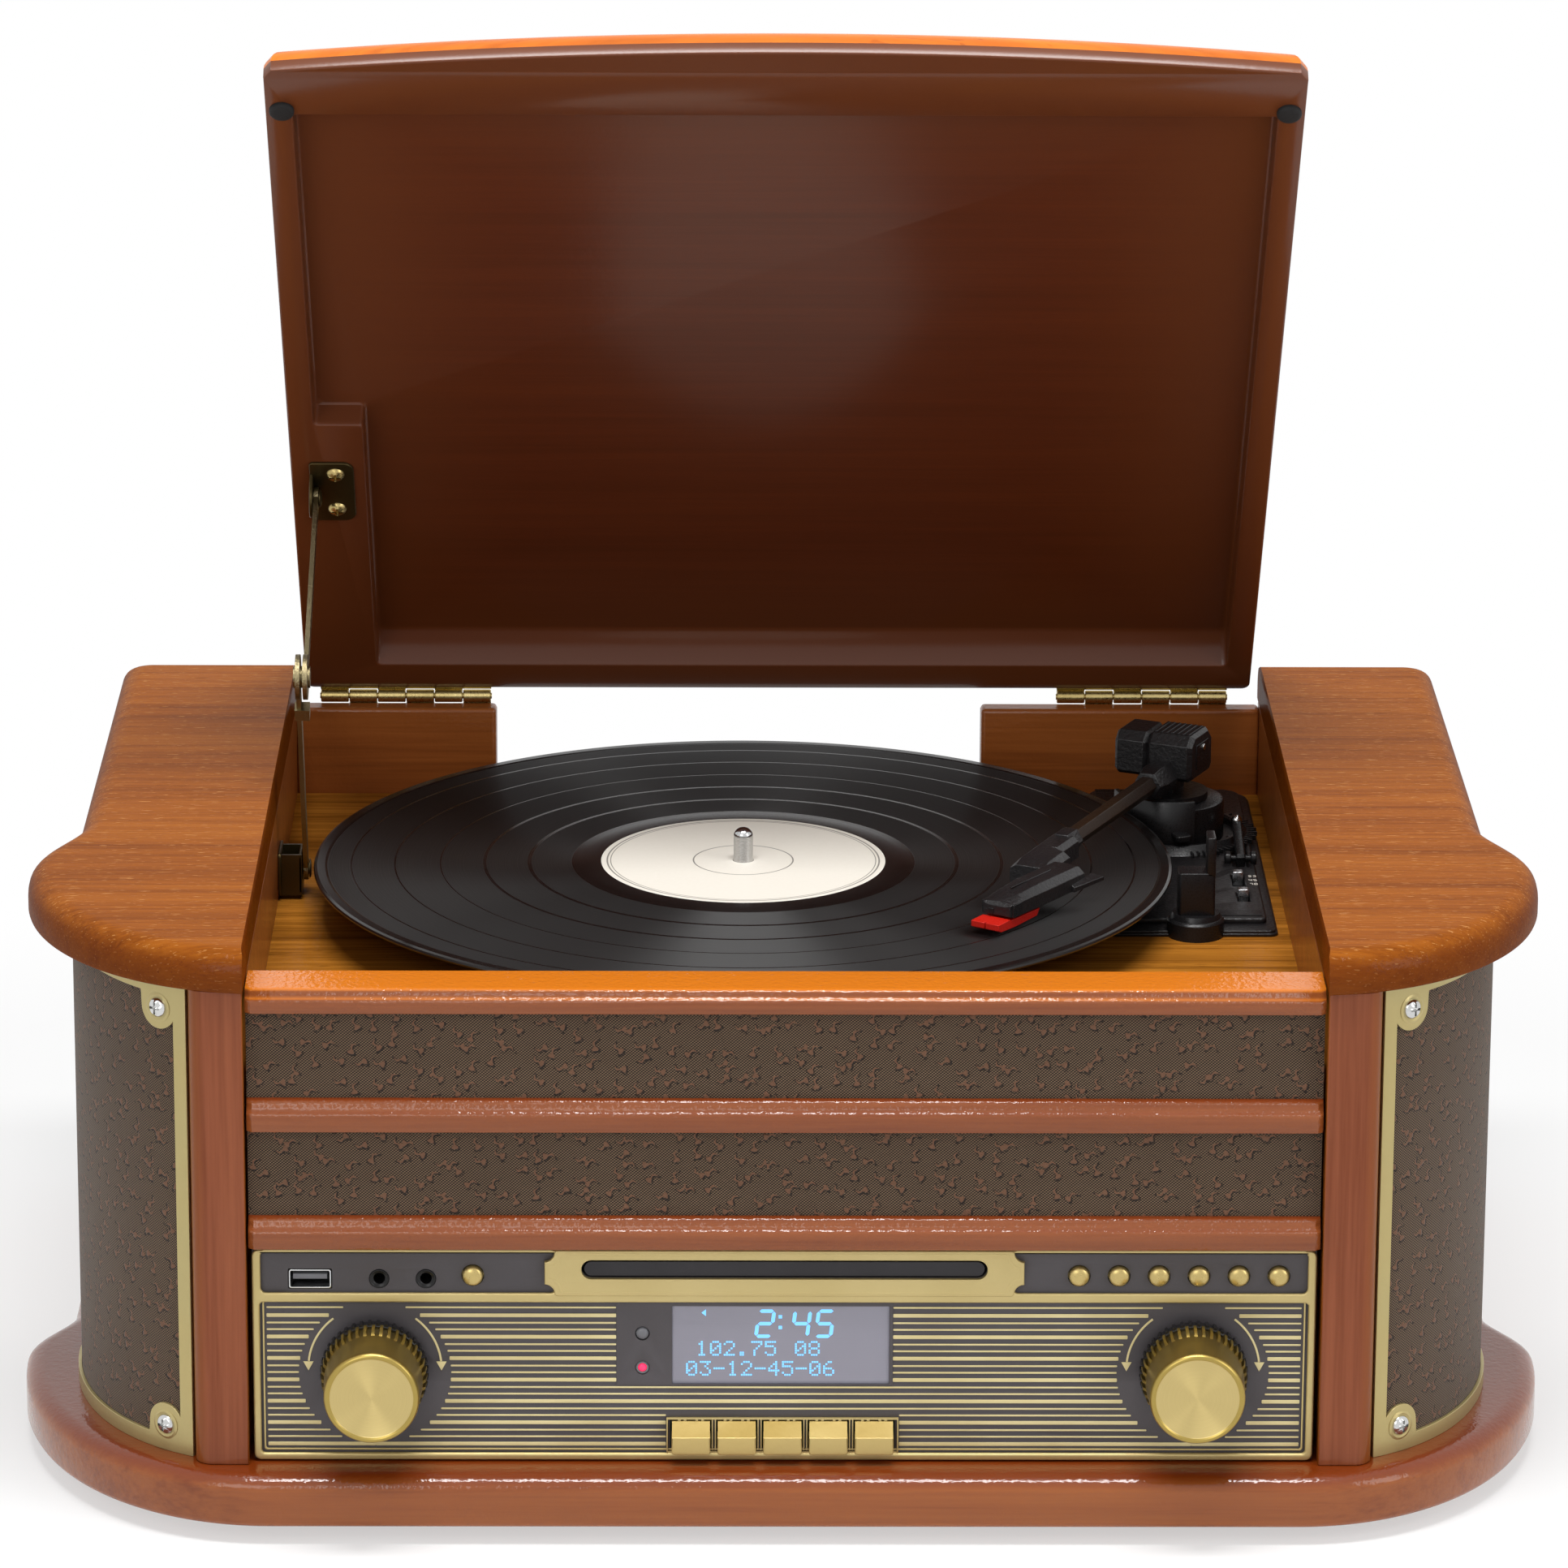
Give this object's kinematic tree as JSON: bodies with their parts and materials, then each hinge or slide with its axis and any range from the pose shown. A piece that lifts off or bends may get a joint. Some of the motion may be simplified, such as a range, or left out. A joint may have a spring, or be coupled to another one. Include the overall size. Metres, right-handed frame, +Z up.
{
  "type": "stereo music centre",
  "caption": "Wooden stereo music centre: turntable with tonearm under a hinged lid, curved cloth speaker ends, and a gilt panel with disc tray, radio display, knobs and keys",
  "frame": {"origin": "centre of the footprint at the bottom of the feet, with the lid open", "axes": "+Z up, +X to the viewer's right, the front faces -Y"},
  "size_m": [0.522, 0.3784, 0.4816],
  "materials": {
    "stained_wood": "satin lacquer, reddish brown",
    "oak_veneer": "oak veneer, satin lacquer",
    "lid_wood": "dark brown stain, gloss lacquer",
    "fibreboard": "matt",
    "foot_rubber": "matt",
    "speaker_cloth": "woven brown and black cloth with tan flecks",
    "gilt_metal": "satin gilt",
    "hinge_brass": "satin",
    "gilt_plastic": "metallised gilt",
    "panel_plastic": "satin charcoal",
    "display": "grey-blue display window",
    "black_plastic": "textured black",
    "vinyl": "grooved gloss",
    "stylus_red": "gloss",
    "bare_steel": "bright",
    "circuit": "green solder mask"
  },
  "bodies": {
    "cabinet": {"base_board": "stained_wood", "rubber_feet": "foot_rubber", "front_posts": "stained_wood", "shoulder_boards": "oak_veneer", "bay_walls": "stained_wood", "deck_board": "oak_veneer", "rear_cover": "fibreboard", "front_rails": "stained_wood", "front_baffle": "fibreboard", "cloth_covers": "speaker_cloth", "speaker_shells": "stained_wood", "grille_frames": "gilt_metal", "speaker_drivers": "bare_steel", "control_panel": "panel_plastic", "panel_trim": "gilt_metal", "display_window": "display", "front_sockets": "bare_steel", "encoders": "bare_steel", "circuit_boards": "circuit", "cd_drive": "bare_steel", "tonearm_plate": "black_plastic", "centre_spindle": "bare_steel", "drive_motor": "bare_steel", "drive_belt": "foot_rubber", "cabinet_hinge_leaves": "hinge_brass", "power_transformer": "bare_steel", "rear_sockets": "black_plastic", "screws": "bare_steel"},
    "platter": {"platter": "black_plastic", "record": "vinyl"},
    "motor_pulley": {"motor_pulley": "hinge_brass"},
    "arm_yoke": {"arm_yoke": "black_plastic"},
    "tonearm": {"tonearm": "black_plastic", "stylus": "stylus_red"},
    "lid": {"lid": "lid_wood", "lid_bumpers": "foot_rubber", "lid_hinge_leaves": "hinge_brass"},
    "lift_rail": {"lift_rail": "black_plastic"},
    "cue_lever": {"cue_lever": "black_plastic"},
    "speed_switch": {"speed_switch": "bare_steel"},
    "autostop_switch": {"autostop_switch": "bare_steel"},
    "cd_tray": {"cd_tray": "panel_plastic"},
    "stay_lower_arm": {"stay_lower_arm": "hinge_brass"},
    "stay_upper_arm": {"stay_upper_arm": "hinge_brass"},
    "volume_plunger": {"volume_plunger": "bare_steel"},
    "tuning_plunger": {"tuning_plunger": "bare_steel"},
    "volume_knob": {"volume_knob": "gilt_plastic"},
    "tuning_knob": {"tuning_knob": "gilt_plastic"},
    "function_button": {"function_button": "gilt_plastic"},
    "play_button": {"play_button": "gilt_plastic"},
    "stop_button": {"stop_button": "gilt_plastic"},
    "back_button": {"back_button": "gilt_plastic"},
    "forward_button": {"forward_button": "gilt_plastic"},
    "record_button": {"record_button": "gilt_plastic"},
    "eject_button": {"eject_button": "gilt_plastic"},
    "menu_key": {"menu_key": "gilt_plastic"},
    "info_key": {"info_key": "gilt_plastic"},
    "scan_key": {"scan_key": "gilt_plastic"},
    "preset_key": {"preset_key": "gilt_plastic"},
    "enter_key": {"enter_key": "gilt_plastic"}
  },
  "joints": [
    {"name": "lid_hinge", "type": "hinge", "parent": "cabinet", "child": "lid", "pos_m": [0, 0.18265, 0.1912], "axis": [1, 0, 0], "range_deg": [0, 51.9]},
    {"name": "stay_wall_pivot", "type": "hinge", "parent": "cabinet", "child": "stay_lower_arm", "pos_m": [-0.168, 0.04985, 0.1655], "axis": [1, 0, 0], "range_deg": [0, 66.09]},
    {"name": "stay_lid_pivot", "type": "hinge", "parent": "lid", "child": "stay_upper_arm", "pos_m": [-0.1654, 0.101, 0.28755], "axis": [1, 0, 0], "range_deg": [-66.87, 0]},
    {"name": "platter_spin", "type": "hinge", "parent": "cabinet", "child": "platter", "pos_m": [-0.0133, 0.03005, 0.1595], "axis": [0, 0, 1], "continuous": true},
    {"name": "pulley_spin", "type": "hinge", "parent": "cabinet", "child": "motor_pulley", "pos_m": [-0.0727, 0.08945, 0.15], "axis": [0, 0, 1], "continuous": true},
    {"name": "tonearm_swing", "type": "hinge", "parent": "cabinet", "child": "arm_yoke", "pos_m": [0.142, 0.11215, 0.174], "axis": [0, 0, 1], "range_deg": [-20, 24.8]},
    {"name": "tonearm_tilt", "type": "hinge", "parent": "arm_yoke", "child": "tonearm", "pos_m": [0.142, 0.11215, 0.187], "axis": [0.9078, -0.4195, 0], "range_deg": [-3.2, 0]},
    {"name": "cue_lever_turn", "type": "hinge", "parent": "cabinet", "child": "cue_lever", "pos_m": [0.165, 0.07715, 0.1614], "axis": [1, 0, 0], "range_deg": [0, 60.1]},
    {"name": "lift_rail_slide", "type": "slide", "parent": "cabinet", "child": "lift_rail", "axis": [0, 0, 1], "range_m": [0, 0.00095]},
    {"name": "speed_switch_slide", "type": "slide", "parent": "cabinet", "child": "speed_switch", "axis": [0, -1, 0], "range_m": [0, 0.008]},
    {"name": "autostop_switch_slide", "type": "slide", "parent": "cabinet", "child": "autostop_switch", "axis": [0, -1, 0], "range_m": [0, 0.005]},
    {"name": "tray_slide", "type": "slide", "parent": "cabinet", "child": "cd_tray", "axis": [0, -1, 0], "range_m": [0, 0.13]},
    {"name": "volume_push", "type": "slide", "parent": "cabinet", "child": "volume_plunger", "axis": [0, 1, 0], "range_m": [0, 0.0008], "stiffness_N_per_m": 900},
    {"name": "volume_turn", "type": "hinge", "parent": "volume_plunger", "child": "volume_knob", "pos_m": [-0.136, -0.16285, 0.0568], "axis": [0, -1, 0], "continuous": true},
    {"name": "tuning_push", "type": "slide", "parent": "cabinet", "child": "tuning_plunger", "axis": [0, 1, 0], "range_m": [0, 0.0008], "stiffness_N_per_m": 900},
    {"name": "tuning_turn", "type": "hinge", "parent": "tuning_plunger", "child": "tuning_knob", "pos_m": [0.136, -0.16285, 0.0568], "axis": [0, -1, 0], "continuous": true},
    {"name": "function_button_press", "type": "slide", "parent": "cabinet", "child": "function_button", "axis": [0, 1, 0], "range_m": [0, 0.0008], "stiffness_N_per_m": 600},
    {"name": "play_button_press", "type": "slide", "parent": "cabinet", "child": "play_button", "axis": [0, 1, 0], "range_m": [0, 0.0008], "stiffness_N_per_m": 600},
    {"name": "stop_button_press", "type": "slide", "parent": "cabinet", "child": "stop_button", "axis": [0, 1, 0], "range_m": [0, 0.0008], "stiffness_N_per_m": 600},
    {"name": "back_button_press", "type": "slide", "parent": "cabinet", "child": "back_button", "axis": [0, 1, 0], "range_m": [0, 0.0008], "stiffness_N_per_m": 600},
    {"name": "forward_button_press", "type": "slide", "parent": "cabinet", "child": "forward_button", "axis": [0, 1, 0], "range_m": [0, 0.0008], "stiffness_N_per_m": 600},
    {"name": "record_button_press", "type": "slide", "parent": "cabinet", "child": "record_button", "axis": [0, 1, 0], "range_m": [0, 0.0008], "stiffness_N_per_m": 600},
    {"name": "eject_button_press", "type": "slide", "parent": "cabinet", "child": "eject_button", "axis": [0, 1, 0], "range_m": [0, 0.0008], "stiffness_N_per_m": 600},
    {"name": "menu_key_press", "type": "slide", "parent": "cabinet", "child": "menu_key", "axis": [0, 1, 0], "range_m": [0, 0.0008], "stiffness_N_per_m": 600},
    {"name": "info_key_press", "type": "slide", "parent": "cabinet", "child": "info_key", "axis": [0, 1, 0], "range_m": [0, 0.0008], "stiffness_N_per_m": 600},
    {"name": "scan_key_press", "type": "slide", "parent": "cabinet", "child": "scan_key", "axis": [0, 1, 0], "range_m": [0, 0.0008], "stiffness_N_per_m": 600},
    {"name": "preset_key_press", "type": "slide", "parent": "cabinet", "child": "preset_key", "axis": [0, 1, 0], "range_m": [0, 0.0008], "stiffness_N_per_m": 600},
    {"name": "enter_key_press", "type": "slide", "parent": "cabinet", "child": "enter_key", "axis": [0, 1, 0], "range_m": [0, 0.0008], "stiffness_N_per_m": 600}
  ],
  "couplings": [
    {"joint": "stay_wall_pivot", "follows": "lid_hinge", "ratio": 1.273},
    {"joint": "stay_lid_pivot", "follows": "lid_hinge", "ratio": -1.288},
    {"joint": "pulley_spin", "follows": "platter_spin", "ratio": 11.062},
    {"joint": "cue_lever_turn", "follows": "tonearm_tilt", "ratio": -18.75},
    {"joint": "lift_rail_slide", "follows": "tonearm_tilt", "m_per_rad": -0.01611}
  ]
}
